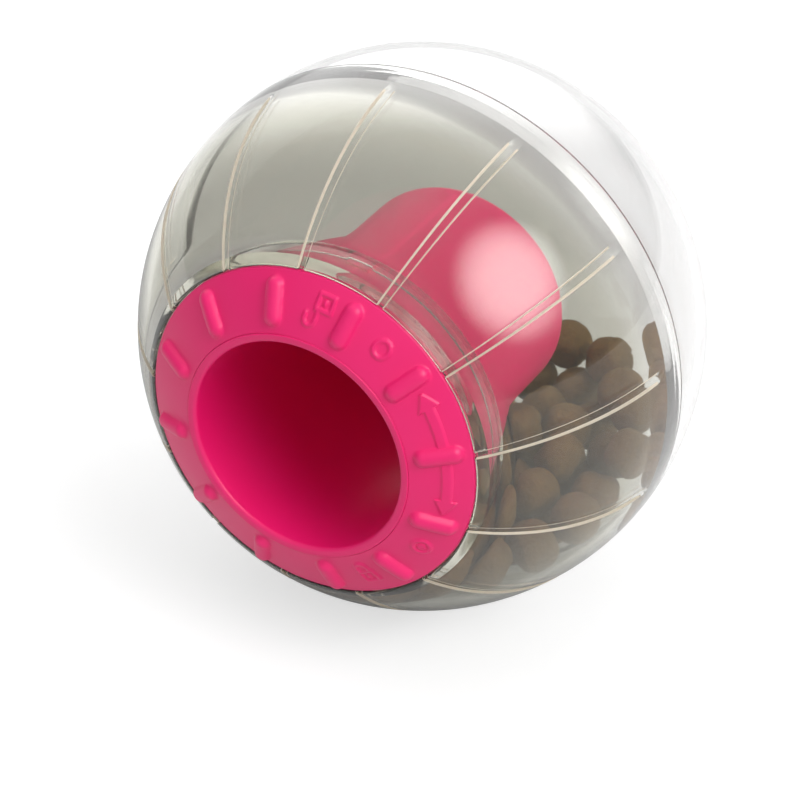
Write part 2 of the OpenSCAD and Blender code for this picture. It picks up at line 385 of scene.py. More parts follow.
def baked_treat():
    """Rough brown crust, of a shade that the mesh gives for each treat."""
    finish, place = start_finish("baked_treat")
    baked = place.node("ShaderNodeAttribute", {"attribute_name": BAKED}, {}, "Fac")
    patches = place.grain(PATCH_SIZE, detail=4, roughness=0.6)
    crumbs = place.grain(FINE_SIZE, detail=5, roughness=0.7)
    pores = place.node("ShaderNodeTexVoronoi", {}, {"Vector": place, "Scale": 1 / PORE_SIZE})
    darkness = BAKED_SHARE * baked + PATCH_SHARE * patches - PALER
    crust = place.blend(darkness, CRUST_PALE, CRUST_DARK)
    spots = (crumbs * SPOT_CONTRAST - SPOT_CUT).ramp((0, SPOT_DARK), (1, SPOT_NONE))
    darker = {"data_type": "RGBA", "blend_type": "MULTIPLY"}
    surface = place.node("ShaderNodeBsdfPrincipled", {}, {
        "Base Color": place.node("ShaderNodeMix", darker, {0: SPOT_SHARE, 6: crust, 7: spots}, 2),
        "Roughness": CRUST_ROUGH + CRUST_UNEVEN * crumbs,
        "IOR": CRUST_IOR,
        "Normal": place.bump(crumbs * FINE_HEIGHT + pores * PORE_HEIGHT, CRUST_STRENGTH),
    })
    show(surface)
    print("baked_treat: crust with crumbs and pores")
    return finish


treat_crust = baked_treat()

# %% [markdown]
# ## Turning an outline
#
# A round part is an outline that is spun about the axis. A spin has even steps, but the grooves of the
# front half and the lugs of the lock need mesh columns exactly at their edges. So one full turn is split
# at those angles, and each stretch is spun by itself, from where the last one ended. At the end the doubled
# points are merged, which closes the round and the poles. Each step of a spin takes longer the more faces
# there already are, so a part that repeats is spun for one repeat only and then copied round.

# %% Write the turning tools
SAME_POINT = 1e-4


def arc(centre, radius, start, end, steps):
    """Points (radius, height) along an arc. Angles in degrees, 0 outwards and 90 towards the mouth."""
    angles = [math.radians(start + (end - start) * i / steps) for i in range(steps + 1)]
    return [(centre[0] + radius * math.cos(a), centre[1] + radius * math.sin(a)) for a in angles]


def line(start, end, steps):
    """Points along a straight stretch of an outline."""
    return [
        tuple(a + (b - a) * i / steps for a, b in zip(start, end))
        for i in range(steps + 1)
    ]


def runs_between(angles, step):
    """One full turn split at some angles, as (turn, number of even steps) in degrees."""
    stops = sorted({round(a % 360, 3) for a in angles} | {0.0})
    turns = [b - a for a, b in zip(stops, stops[1:] + [360.0])]
    return [(turn, max(1, round(turn / step))) for turn in turns]


def verts_in(geom):
    """The points among what an operator made."""
    return [g for g in geom if isinstance(g, bmesh.types.BMVert)]


def turned(outline, runs, closed, repeats=1):
    """A bmesh of an outline that is spun round, mouth up, in millimetres."""
    bm = bmesh.new()
    points = [bm.verts.new((r, 0, z)) for r, z in outline]
    pairs = list(zip(points, points[1:]))
    if closed:
        pairs.append((points[-1], points[0]))
    last = points + [bm.edges.new(pair) for pair in pairs]
    for turn, steps in runs:
        spun = bmesh.ops.spin(
            bm, geom=last, cent=(0, 0, 0), axis=(0, 0, 1), angle=math.radians(turn), steps=steps
        )
        last = spun["geom_last"]
    one_repeat = bm.verts[:] + bm.edges[:] + bm.faces[:]
    for i in range(1, repeats):
        copied = bmesh.ops.duplicate(bm, geom=one_repeat)["geom"]
        turn = Matrix.Rotation(math.tau * i / repeats, 3, "Z")
        bmesh.ops.rotate(bm, cent=(0, 0, 0), matrix=turn, verts=verts_in(copied))
    bmesh.ops.remove_doubles(bm, verts=bm.verts, dist=SAME_POINT)
    bmesh.ops.recalc_face_normals(bm, faces=bm.faces)
    return bm


print("Turning tools ready")

# %% [markdown]
# A finished bmesh becomes a piece. It is laid down first, with its place in its mesh, so that its object
# stays at the origin. Then it gets its finishes, it is hung on the body that it moves with, and the part
# that it stands for is hidden. Edges with a sharp corner stay crisp, and all others are shaded smooth.

# %% Write the tools that make a piece
SHARP_CORNER = 35
NO_CORNER = 180


def mesh_of(name, bm):
    """Makes a mesh of a finished bmesh, and frees the bmesh."""
    mesh = bpy.data.meshes.new(name)
    bm.to_mesh(mesh)
    bm.free()
    return mesh


def piece(name, bm, finishes, body, node, sharp=SHARP_CORNER):
    """Lays a bmesh down, and makes it a piece that moves with a body and stands for a part."""
    bmesh.ops.transform(bm, matrix=LAY_DOWN, verts=bm.verts)
    mesh = mesh_of(name, bm)
    for finish in finishes:
        mesh.materials.append(finish)
    mesh.shade_smooth()
    mesh.set_sharp_from_angle(angle=math.radians(sharp))
    made = in_scene(name, mesh)
    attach(made, body)
    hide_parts(node)
    print(f"{name}: {len(mesh.polygons)} faces")
    return made


print("Piece tools ready")

# %% [markdown]
# ## The rear half
#
# The rear half is a plain thin bowl. Its rim has a tongue that fits inside the front half and thins out to
# an edge. The outline runs from the pole on the outside, up over the tongue, and back to the pole inside.

# %% Make the rear half
WALL = 2
SEAM_GAP = 0.025
EDGE_ROUND = 0.06
LAP_STEP = 0.4
LAP_FOOT = 0.5
TONGUE = 4
TONGUE_TIP = 0.03
REPEATS = 12
COLUMN = 1.5
inner_r = ball_r - WALL
lap_r = ball_r - LAP_STEP
tongue_r = lap_r - SEAM_GAP
tip_r = math.sqrt((inner_r + TONGUE_TIP) ** 2 - TONGUE**2)


def height_angle(height, radius):
    """The angle above the seam of a point at a height on a ball."""
    return math.degrees(math.asin(height / radius))


def one_repeat(column):
    """The run of one repeat, with columns of about some degrees."""
    turn = 360 / REPEATS
    return [(turn, round(turn / column))]


rear_outline = (
    arc((0, 0), ball_r, -90, height_angle(-SEAM_GAP - EDGE_ROUND, ball_r), 60)
    + [(ball_r - EDGE_ROUND, -SEAM_GAP), (tongue_r, -SEAM_GAP)]
    + line((tongue_r, LAP_FOOT), (tip_r, TONGUE), 4)
    + arc((0, 0), inner_r, height_angle(TONGUE, inner_r), -90, 64)
)
rear = turned(rear_outline, one_repeat(COLUMN), closed=False, repeats=REPEATS)
piece("rear_half", rear, [clear_finish], "ball", "rear_shell")

# %% [markdown]
# ## The lock
#
# The mouthpiece is held by a twist lock. The ring lies on a sunk seat in the ball's wall. Its barrel goes
# through the seat, and lugs on the barrel turn behind it, inside a round collar. The tube runs through the
# barrel, and a guide at the collar's end steadies it. Front half, ring and tube share these sizes, so they
# are worked out once: heights from the ring down, and radii from the mouth out.

# %% Work out the lock
RUN_GAP = 0.08
PORT_GAP = 0.3
EDGE_GAP = 0.12
RING_SET = 0.5
RING_EDGE = 2.2
CUP_WALL = 1.2
BARREL_WALL = 1.8
LUG_REACH = 1.4
COLLAR_WALL = 1.6
COLLAR_LENGTH = 12.3
ring_edge_z = math.sqrt(ball_r**2 - ring_r**2) - RING_SET
ring_under_z = ring_edge_z - RING_EDGE
seat_z = ring_under_z - PORT_GAP
seat_under_z = seat_z - WALL
lug_top_z = seat_under_z - PORT_GAP
collar_z = seat_under_z - COLLAR_LENGTH
cup_r = bore_r + CUP_WALL
hub_r = cup_r + RUN_GAP
guide_r = cup_r + PORT_GAP
barrel_r = hub_r + BARREL_WALL
way_r = barrel_r + PORT_GAP
lug_r = barrel_r + LUG_REACH
collar_in_r = lug_r + PORT_GAP
collar_r = collar_in_r + COLLAR_WALL
port_r = ring_r + EDGE_GAP
print(f"Lock: lugs to {lug_r:.1f} mm, collar to {collar_r:.1f} mm, port {port_r:.1f} mm, all as radii")

# %% [markdown]
# ## The front half
#
# The front half has the port for the mouthpiece, with the seat, the collar and the guide. Its outline
# starts at the seam, runs over the outside to the port's rounded edge, down into the seat and round the
# collar, and back inside the ball to the lap. A wide round fills the corner behind the seat, because a
# sharp corner in clear plastic bends the light into a dark line.

# %% Draw the front half's outline
PORT_ROUND = 0.4
PORT_FLARE = 1.5
CORNER_ROUND = 8
GUIDE = 1.6
GAP_ROW = 1
LAP_END = 9
FLUTE_STOP = 6
FLUTE_WALL = 0.3
round_r = port_r + PORT_ROUND
round_z = math.sqrt((ball_r - PORT_ROUND) ** 2 - round_r**2)
round_angle = math.degrees(math.atan2(round_z, round_r))
corner_z = seat_under_z - CORNER_ROUND
corner_r = math.sqrt((inner_r - CORNER_ROUND) ** 2 - corner_z**2)
corner_angle = math.degrees(math.atan2(corner_z, corner_r))
guide_z = collar_z + GUIDE
seam_angle = height_angle(SEAM_GAP + EDGE_ROUND, ball_r)
stop_angle = height_angle(FLUTE_STOP, ball_r)
flute_angle = height_angle(FLUTE_STOP + FLUTE_WALL, ball_r)
lap_angle = height_angle(LAP_END, inner_r)
lap_end_r = math.sqrt(inner_r**2 - LAP_END**2)
front_outline = (
    [(lap_r, SEAM_GAP), (ball_r - EDGE_ROUND, SEAM_GAP)]
    + arc((0, 0), ball_r, seam_angle, stop_angle, 6)
    + arc((0, 0), ball_r, flute_angle, round_angle, 42)
    + arc((round_r, round_z), PORT_ROUND, round_angle, 180, 5)[1:]
    + line((port_r + PORT_FLARE, seat_z), (way_r, seat_z), 6)
    + [(way_r, seat_under_z), (collar_in_r, seat_under_z)]
    + line((collar_in_r, seat_under_z - GAP_ROW), (collar_in_r, guide_z), 6)
    + [(guide_r, guide_z), (guide_r, collar_z)]
    + line((collar_r, collar_z), (collar_r, seat_under_z), 8)
    + arc((corner_r, corner_z), CORNER_ROUND, 90, corner_angle, 12)
    + arc((0, 0), inner_r, corner_angle, lap_angle, 34)[1:]
    + line((lap_end_r, LAP_END), (lap_r, LAP_FOOT), 4)[1:]
)
print(f"Front half: {len(front_outline)} points in the outline")

# %% [markdown]
# Three things break the round: the grooves on the outside, the gaps in the seat that let the lugs in, and
# a slot in the guide for a key on the tube, which keeps the tube from turning. Mesh columns are put at the
# edges of all of these as the outline is turned.

# %% Turn the front half
FLUTES = 13
FLUTE_START = 9.6
FLUTE_ANGLE = 2.2
FLUTE_SIDE = 0.32
FLUTE_RIM = 0.18
LUGS = 3
LUG_ANGLE = 30
LUG_PLAY = 3
GAP_SIDE = 0.3
KEY_ANGLE = 90
KEY_WIDTH = 4
flutes = [FLUTE_START + i * 360 / FLUTES for i in range(FLUTES)]
flute_edges = (FLUTE_ANGLE / 2 + FLUTE_RIM, FLUTE_ANGLE / 2, FLUTE_ANGLE / 2 - FLUTE_SIDE)
lugs = [i * 360 / LUGS for i in range(LUGS)]
half_gap = LUG_ANGLE / 2 + LUG_PLAY
half_slot = math.degrees(math.asin((KEY_WIDTH / 2 + PORT_GAP) / guide_r))


def both_sides(middles, offs):
    """Angles that lie some degrees off on both sides of each middle."""
    return [middle + side * off for middle in middles for side in (-1, 1) for off in offs]


front_stops = (
    both_sides(flutes, flute_edges)
    + both_sides(lugs, (half_gap, half_gap - GAP_SIDE))
    + both_sides([KEY_ANGLE], (half_slot, half_slot + GAP_SIDE))
)
front = turned(front_outline, runs_between(front_stops, COLUMN), closed=True)
print(f"Front half: {len(front.faces)} faces before the grooves")

# %% [markdown]
# The grooves are made on the turned ball. The points on the floor of each groove move in towards the
# ball's centre, and less and less towards the seam, so that a groove runs out softly. In the same way, the
# points at a lug's gap and at the key's slot move out from the axis.

# %% Sink the grooves and open the lock
FLUTE_DEPTH = 0.4
FLUTE_FADE = 5
KEY_HEIGHT = 1.2
SLACK = 0.02
floor_angle = FLUTE_ANGLE / 2 - FLUTE_SIDE + SLACK
floor_r = ball_r - FLUTE_DEPTH
floor_drop = math.sqrt(ball_r**2 - port_r**2) - math.sqrt(floor_r**2 - port_r**2)
slot_r = cup_r + KEY_HEIGHT + PORT_GAP


def angle_of(point):
    """Degrees round the axis, counted from the right-hand side."""
    return math.degrees(math.atan2(point.y, point.x)) % 360


def radius_of(point):
    """Distance from the axis."""
    return math.hypot(point.x, point.y)


def apart(a, b):
    """The angle from b to a, between -180 and 180 degrees."""
    return (a - b + 180) % 360 - 180


def from_nearest(angle, middles):
    """Degrees to the nearest of some angles."""
    return min(abs(apart(angle, middle)) for middle in middles)


def smooth_step(low, high, value):
    """A soft rise from 0 to 1 between two values."""
    share = min(max((value - low) / (high - low), 0), 1)
    return share * share * (3 - 2 * share)


for vert in front.verts:
    angle, radius = angle_of(vert.co), radius_of(vert.co)
    outside = vert.co.length > ball_r - SLACK
    at_port = radius < round_r + SLACK and vert.co.z > round_z - SLACK
    if from_nearest(angle, flutes) < floor_angle and vert.co.z > FLUTE_STOP + SLACK:
        if at_port:
            vert.co.z -= floor_drop
        elif outside:
            fade = smooth_step(FLUTE_STOP, FLUTE_STOP + FLUTE_FADE, vert.co.z)
            vert.co *= 1 - fade * FLUTE_DEPTH / ball_r
    in_gap = from_nearest(angle, lugs) < half_gap - GAP_SIDE + SLACK
    if in_gap and radius < collar_in_r - SLACK and vert.co.z > seat_under_z - SLACK:
        vert.co.xy *= collar_in_r / radius
    in_slot = from_nearest(angle, [KEY_ANGLE]) < half_slot + SLACK
    if in_slot and radius < guide_r + SLACK and vert.co.z < guide_z + SLACK:
        vert.co.xy *= slot_r / radius
bmesh.ops.remove_doubles(front, verts=front.verts, dist=SAME_POINT)
bmesh.ops.dissolve_degenerate(front, edges=front.edges, dist=SAME_POINT)
bmesh.ops.recalc_face_normals(front, faces=front.faces)
print(f"Front half: {len(flutes)} grooves, {len(lugs)} gaps for lugs")

# %% [markdown]
# The side walls of the grooves get the painted highlight, up to where the groove is half run out. All other
# faces keep the first finish of the piece, the smoke.

# %% Paint the highlight on the groove walls
groove_highlight_walls = 0
for face in front.faces:
    middle = face.calc_center_median()
    off = from_nearest(angle_of(middle), flutes)
    on_side = flute_edges[2] < off < flute_edges[0] and middle.z > FLUTE_STOP + FLUTE_FADE / 2
    if on_side and middle.length > floor_r - SLACK:
        # Material 1 is the painted highlight of the groove walls.
        face.material_index = 1
        groove_highlight_walls += 1
print(f"Front half: {groove_highlight_walls} faces of groove walls")
piece("front_half", front, [smoke_plastic, groove_highlight], "ball", "front_shell")

# %% [markdown]
# ## The grip ring
#
# The ring's face is a shallow dome with raised grips to hold it by, and low raised signs that say which way
# it turns: a double arrow between an open and a closed padlock, each with a plain sign beside it. The face
# is turned with a fine grid, and each point of the grid is then raised by the height of what stands on it.
# That gives one closed skin with soft corners where a grip meets the face, as a moulded part has.

# %% Turn the ring
RING_DOME = 63
RING_ROUND = 0.45
UNDER_BEVEL = 0.4
BARREL_FOOT = 0.6
LIP_OVER = 0.6
LIP_HEIGHT = 1.9
LIP_GAP = 0.05
HOLE_ROUND = 0.06
FACE_STEPS = 46
RING_COLUMN = 1 / 3
lug_under_z = barrel_z + BARREL_FOOT
lip_r = cup_r + LIP_OVER
lip_hole_r = lip_r + LIP_GAP
lip_under_z = lip_z - LIP_HEIGHT
step_z = lip_under_z - PORT_GAP
dome_z = ring_edge_z - math.sqrt(RING_DOME**2 - ring_r**2)


def face_z(radius):
    """Height of the ring's bare face at a radius."""
    return dome_z + math.sqrt(RING_DOME**2 - radius**2)


edge_r = ring_r - RING_ROUND
edge_lift = math.sqrt((RING_DOME - RING_ROUND) ** 2 - edge_r**2)
edge_angle = math.degrees(math.atan2(edge_lift, edge_r))
hole_angle = math.degrees(math.acos((lip_hole_r + HOLE_ROUND) / RING_DOME))
ring_outline = (
    line((hub_r, barrel_z), (barrel_r, barrel_z), 1)
    + [(barrel_r, lug_under_z), (barrel_r, lug_top_z), (barrel_r, ring_under_z)]
    + line((ring_r - UNDER_BEVEL, ring_under_z), (ring_r, ring_under_z + UNDER_BEVEL), 2)
    + arc((edge_r, dome_z + edge_lift), RING_ROUND, 0, edge_angle, 5)
    + arc((0, dome_z), RING_DOME, edge_angle, hole_angle, FACE_STEPS)[1:]
    + [(lip_hole_r, face_z(lip_hole_r) - HOLE_ROUND)]
    + line((lip_hole_r, step_z), (hub_r, step_z), 1)
)
ring = turned(ring_outline, one_repeat(RING_COLUMN), closed=True, repeats=REPEATS)
print(f"Ring: {len(ring.faces)} faces before the grips and lugs")

# %% [markdown]
# The signs are drawn as strokes in millimetres on the unrolled face: x runs round the ring, and y outwards
# from the axis. A padlock is a box with a bow over it, which stands to one side when the lock is open.


# %% Draw the signs
def sign_points(pairs):
    return [Vector(pair) for pair in pairs]


def round_stroke(centre, radius, start=0, end=360, steps=14):
    """A stroke along an arc or a full circle."""
    return sign_points(arc(centre, radius, start, end, steps))


def moved(stroke, x, y):
    return [point + Vector((x, y)) for point in stroke]


lock_body = sign_points([(-1.5, 0), (-1.5, 2.6), (1.5, 2.6), (1.5, 0), (-1.5, 0)])
key_hole = sign_points([(0, 1.1), (0, 1.5)])
bow = round_stroke((0, -1.1), 1.1, 180, 360, 10)
closed_bow = sign_points([(-1.1, 0)]) + bow + sign_points([(1.1, 0)])
open_bow = sign_points([(0.9, 0)]) + moved(bow, 2, -0.8) + sign_points([(3.1, -1)])
open_lock = [lock_body, key_hole, open_bow]
closed_lock = [lock_body, key_hole, closed_bow]
open_sign = [round_stroke((0, 0), 1.5)]
closed_sign = [round_stroke((0, 0), 1.5), round_stroke((0, 0), 0.4)]
# Each sign has its angle round the ring, its radius and its strokes.
signs = [(81, 29.1, open_lock), (56, 29.3, open_sign), (-32, 29, closed_sign), (-62, 27.9, closed_lock)]
print(f"Signs: {len(signs)}, with {sum(len(strokes) for _, _, strokes in signs)} strokes")

# %% [markdown]
# These functions give the height of what stands on the face at any place. A grip is a round bar with a
# soft foot. The double arrow is a band with a head at each end. A stroke of a sign raises every point that
# lies close to its line.

# %% Measure the heights on the face
GRIPS = 12
GRIP_START = 11
GRIP_LENGTH = 9.4
GRIP_WIDTH = 3.8
GRIP_HEIGHT = 1.4
GRIP_FOOT = 0.35
FOOT_RISE = 0.45
SIGN_HEIGHT = 0.35
SIGN_SOFT = 0.2
SIGN_ROOM = 9
STROKE = 0.36
ARROW_FROM, ARROW_TO = -14, 35.5
ARROW_R = 29.6
ARROW_HALF = 0.85
HEAD_LENGTH = 3.2
HEAD_HALF = 1.7
grip_r = (lip_hole_r + ring_r) / 2
grip_lean = math.sqrt(1 - (grip_r / RING_DOME) ** 2)
grips = [GRIP_START + i * 360 / GRIPS for i in range(GRIPS)]


def grip_height(angle, radius):
    """Height of the grips over the bare face."""
    off = math.radians(from_nearest(angle, grips))
    across = radius * math.sin(off)
    along = (radius * math.cos(off) - grip_r) / grip_lean
    past_end = max(abs(along) - (GRIP_LENGTH - GRIP_WIDTH) / 2, 0)
    distance = math.hypot(across, past_end)
    bar = GRIP_WIDTH / 2
    if distance > bar + GRIP_FOOT:
        return 0
    top = math.sqrt(max(bar**2 - distance**2, 0)) - (bar - GRIP_HEIGHT)
    foot = GRIP_FOOT * FOOT_RISE * (1 - smooth_step(bar - GRIP_FOOT, bar + GRIP_FOOT, distance))
    return max(top, foot, 0)


def sign_rise(half, distance):
    """Height of a low sign at a distance from its middle line, with soft edges."""
    return SIGN_HEIGHT * (1 - smooth_step(half - SIGN_SOFT, half + SIGN_SOFT, distance))


def arrow_height(angle, radius):
    """Height of the double arrow over the bare face."""
    turn = apart(angle, (ARROW_FROM + ARROW_TO) / 2)
    to_tip = (ARROW_TO - ARROW_FROM) / 2 - abs(turn)
    past = math.radians(to_tip) * radius
    if past < 0:
        return 0
    half = ARROW_HALF if past > HEAD_LENGTH else SIGN_SOFT + past * HEAD_HALF / HEAD_LENGTH
    return sign_rise(half, abs(radius - ARROW_R))


def stroke_distance(point, stroke):
    """The distance of a point from a line of several points."""
    found = []
    for a, b in zip(stroke, stroke[1:]):
        along = (point - a).dot(b - a) / (b - a).length_squared
        found.append((point - a - min(max(along, 0), 1) * (b - a)).length)
    return min(found)


def sign_height(angle, radius):
    """Height of the arrow and the signs over the bare face."""
    height = arrow_height(angle, radius)
    for sign_angle, sign_r, strokes in signs:
        off = apart(angle, sign_angle)
        if abs(off) < SIGN_ROOM:
            point = Vector((math.radians(off) * radius, radius - sign_r))
            distance = min(stroke_distance(point, stroke) for stroke in strokes)
            height = max(height, sign_rise(STROKE, distance))
    return height


print(f"A grip's middle is {grip_height(GRIP_START, grip_r):.1f} mm high")

# %% [markdown]
# Each point of the domed face moves out along the dome's own radius. The rows next to the ring's rounded
# edges stay where they are.

# %% Raise the grips and the signs
INNER_MARGIN = 0.2
OUTER_MARGIN = 0.4
NEAR_FACE = 0.1
dome_middle = Vector((0, 0, dome_z))

raised = 0
for vert in ring.verts:
    radius = radius_of(vert.co)
    inside_edges = lip_hole_r + INNER_MARGIN < radius < ring_r - OUTER_MARGIN
    if inside_edges and abs(vert.co.z - face_z(radius)) < NEAR_FACE:
        angle = angle_of(vert.co)
        height = max(grip_height(angle, radius), sign_height(angle, radius))
        if height > 0:
            raised += 1
            vert.co += (vert.co - dome_middle).normalized() * height
print(f"Ring: {raised} points raised for grips and signs")

# %% [markdown]
# Three lugs on the barrel turn behind the seat and hold the mouthpiece. They grow out of the barrel's own
# faces: the faces between their edges are extruded and pushed out from the axis.


# %% Grow the lugs and finish the ring
def grow(bm, wall_r, middles, half_angle, low_z, high_z, to_radius):
    """Extrudes the faces of a round wall that lie near some angles and between two heights."""
    chosen = []
    for face in bm.faces:
        middle = face.calc_center_median()
        near = from_nearest(angle_of(middle), middles) < half_angle and low_z < middle.z < high_z
        if near and abs(radius_of(middle) - wall_r) < SLACK:
            chosen.append(face)
    made = bmesh.ops.extrude_face_region(bm, geom=chosen)["geom"]
    for vert in verts_in(made):
        vert.co.xy *= to_radius / radius_of(vert.co)
    bmesh.ops.delete(bm, geom=chosen, context="FACES_KEEP_BOUNDARY")
    bmesh.ops.recalc_face_normals(bm, faces=bm.faces)


grow(ring, barrel_r, lugs, LUG_ANGLE / 2, lug_under_z, lug_top_z, lug_r)
piece("grip_ring", ring, [pink], "ring", "lock_ring")

# %% [markdown]
# ## The treat cup
#
# The pink tube behind the ring is a long cup with a closed end. Its lip is a low roll with rounded edges
# that hides the ring's inner edge, and a bead behind the ring keeps the two together. A key on its outside
# runs in the guide's slot. The first row of points after a round lies close to it, so that the round's
# shading doesn't spread over the long straight wall.

# %% Turn the cup
CUP_ROUND = 2
FLOOR_ROUND = 1
WALL_ROW, FLOOR_ROW = 2, 4
BEAD = 0.8
BEAD_HEIGHT = 1.2
BEAD_ROUND = 0.3
KEY_LENGTH = 5
LIP_EDGE = 0.26
LIP_ROUND = 0.8
CUP_COLUMN = 2
round_top_z = CUP_ROUND - cup_end
floor_z = CUP_WALL - cup_end
key_low_z = collar_z + GUIDE / 2 - KEY_LENGTH / 2
key_high_z = collar_z + GUIDE / 2 + KEY_LENGTH / 2
bead_z = barrel_z - PORT_GAP
bead_low_z = bead_z - BEAD_HEIGHT
bead_mid_r = cup_r + BEAD - BEAD_ROUND
cup_outline = (
    line((0, -cup_end), (cup_r - CUP_ROUND, -cup_end), 6)
    + arc((cup_r - CUP_ROUND, round_top_z), CUP_ROUND, -90, 0, 6)
    + line((cup_r, round_top_z + WALL_ROW), (cup_r, key_low_z), 16)
    + line((cup_r, key_high_z), (cup_r, bead_low_z), 2)
    + arc((bead_mid_r, bead_low_z + BEAD_ROUND), BEAD_ROUND, -90, 0, 2)
    + arc((bead_mid_r, bead_z - BEAD_ROUND), BEAD_ROUND, 0, 90, 2)
    + line((cup_r, bead_z), (cup_r, lip_under_z), 4)
    + [(lip_r, lip_under_z)]
    + arc((lip_r - LIP_EDGE, lip_z - LIP_EDGE), LIP_EDGE, 0, 90, 6)
    + arc((bore_r + LIP_ROUND, lip_z - LIP_ROUND), LIP_ROUND, 90, 180, 8)
    + line((bore_r, lip_z - LIP_ROUND - WALL_ROW), (bore_r, floor_z + FLOOR_ROUND), 24)
    + arc((bore_r - FLOOR_ROUND, floor_z + FLOOR_ROUND), FLOOR_ROUND, 0, -90, 4)[1:]
    + line((bore_r - FLOOR_ROW, floor_z), (0, floor_z), 4)
)
half_key = math.degrees(math.asin(KEY_WIDTH / 2 / cup_r))
cup = turned(cup_outline, runs_between(both_sides([KEY_ANGLE], [half_key]), CUP_COLUMN), closed=False)
grow(cup, cup_r, [KEY_ANGLE], half_key, key_low_z, key_high_z, cup_r + KEY_HEIGHT)
treat_cup = piece("treat_cup", cup, [pink], "tube", "treat_tube")

# %% [markdown]
# A window in the tube's side lets the treats drop in as the ball rolls. It is cut with a Boolean, since
# its round ends cross the wall where no mesh column or row follows them. The cutter is a slot with round
# ends, drawn inside the tube, extruded out through the wall, and turned to its place. It is taken away
# after the cut.

# %% Cut the window
WINDOW_WIDTH = 12.5
WINDOW_LENGTH = 14.5
WINDOW_FRONT = 2
WINDOW_ANGLE = 216
CUTTER_INSIDE = 8
CUTTER_DEPTH = 14
end_r = WINDOW_WIDTH / 2
far_end = WINDOW_FRONT - WINDOW_LENGTH

cutter = bmesh.new()
rim = arc((0, WINDOW_FRONT - end_r), end_r, 0, 180, 24) + arc((0, far_end + end_r), end_r, 180, 360, 24)
base = cutter.faces.new([cutter.verts.new((bore_r - CUTTER_INSIDE, x, z)) for x, z in rim])
wall = bmesh.ops.extrude_face_region(cutter, geom=[base])["geom"]
bmesh.ops.translate(cutter, vec=(CUTTER_DEPTH, 0, 0), verts=verts_in(wall))
bmesh.ops.recalc_face_normals(cutter, faces=cutter.faces)
turn = Matrix.Rotation(math.radians(WINDOW_ANGLE), 4, "Z")
bmesh.ops.transform(cutter, matrix=LAY_DOWN @ turn, verts=cutter.verts)
window_cutter = in_scene("window_cutter", mesh_of("window_cutter", cutter))

cut = treat_cup.modifiers.new("window", "BOOLEAN")
cut.object = window_cutter
cut.solver = "EXACT"
bpy.context.view_layer.update()
evaluated = treat_cup.evaluated_get(bpy.context.evaluated_depsgraph_get())
cut_mesh = bpy.data.meshes.new_from_object(evaluated)
treat_cup.modifiers.clear()
treat_cup.data = cut_mesh
cut_mesh.set_sharp_from_angle(angle=math.radians(SHARP_CORNER))
bpy.data.objects.remove(window_cutter)
print(f"treat_cup: {len(cut_mesh.polygons)} faces with its window")

# %% [markdown]
# ## The treats
#
# The pile is known as plain cut balls, so each treat's place and the way it lies can be read from its flat
# faces. Opposite faces are added up together, and the three directions with the most flat face are the
# treat's axes.

# %% Find where the treats lie
ONE_WAY = Vector((0.3, 0.5, 0.8))
plain = bmesh.new()
plain.from_mesh(frame["nodes"]["treats"].data)
bmesh.ops.remove_doubles(plain, verts=plain.verts, dist=SAME_POINT * MM)


def islands(bm):
    """The separate solids of a mesh, each as a list of faces that grows from its first face."""
    seen = set()
    for start in bm.faces:
        if start in seen:
            continue
        seen.add(start)
        found = [start]
        for face in found:
            beside = dict.fromkeys(f for e in face.edges for f in e.link_faces if f not in seen)
            seen.update(beside)
            found.extend(beside)
        yield found


def lie_of(faces):
    """The middle of a treat, and its three axes with half its size along each, the shortest first."""
    sides = {}
    for face in faces:
        normal = face.normal if face.normal.dot(ONE_WAY) > 0 else -face.normal
        key = tuple(round(v, 2) for v in normal)
        sides.setdefault(key, [0, Vector()])
        sides[key][0] += face.calc_area()
        sides[key][1] += normal * face.calc_area()
    flat = sorted(sides.values(), key=lambda side: -side[0])[:3]
    axes = [side[1].normalized() for side in flat]
    middle, halves = Vector(), []
    for axis in axes:
        reach = [vert.co.dot(axis) for face in faces for vert in face.verts]
        middle += axis * (min(reach) + max(reach)) / 2
        halves.append((max(reach) - min(reach)) / 2)
    return middle, axes, halves


lies = [lie_of(faces) for faces in islands(plain)]
lies.sort(key=lambda lie: tuple(lie[0]))
plain.free()
print(f"Treats: {len(lies)}, half sizes {[round(h / MM, 1) for h in lies[0][2]]} mm")

# %% [markdown]
# Each treat is a baked pillow: a cube that is subdivided, swollen to a rounded box, and then roughened with
# noise, each treat from its own part of the noise. None grows past the plain shape. One number per treat
# says how dark it was baked, for the finish to read.

# %% Bake the treats
PILLOW_CUTS = 9
PILLOW_POWER = 3.4
PILLOW_FILL = 0.97
MOST_REACH = 5.15 * MM
LUMP, LUMP_SIZE = 0.5 * MM, 3.4 * MM
CRUMB, CRUMB_SIZE = 0.2 * MM, 1.2 * MM
NOISE_STEP = (0.37, 0.11, 0.23)
BAKE_SPREAD = 7.3
CRUMB_SPREAD = 3

pillow = bmesh.new()
bmesh.ops.create_cube(pillow, size=2)
bmesh.ops.subdivide_edges(pillow, edges=pillow.edges, cuts=PILLOW_CUTS, use_grid_fill=True)
for vert in pillow.verts:
    rounded = sum(abs(v) ** PILLOW_POWER for v in vert.co) ** (1 / PILLOW_POWER)
    vert.co /= rounded
pillow_mesh = mesh_of("pillow", pillow)

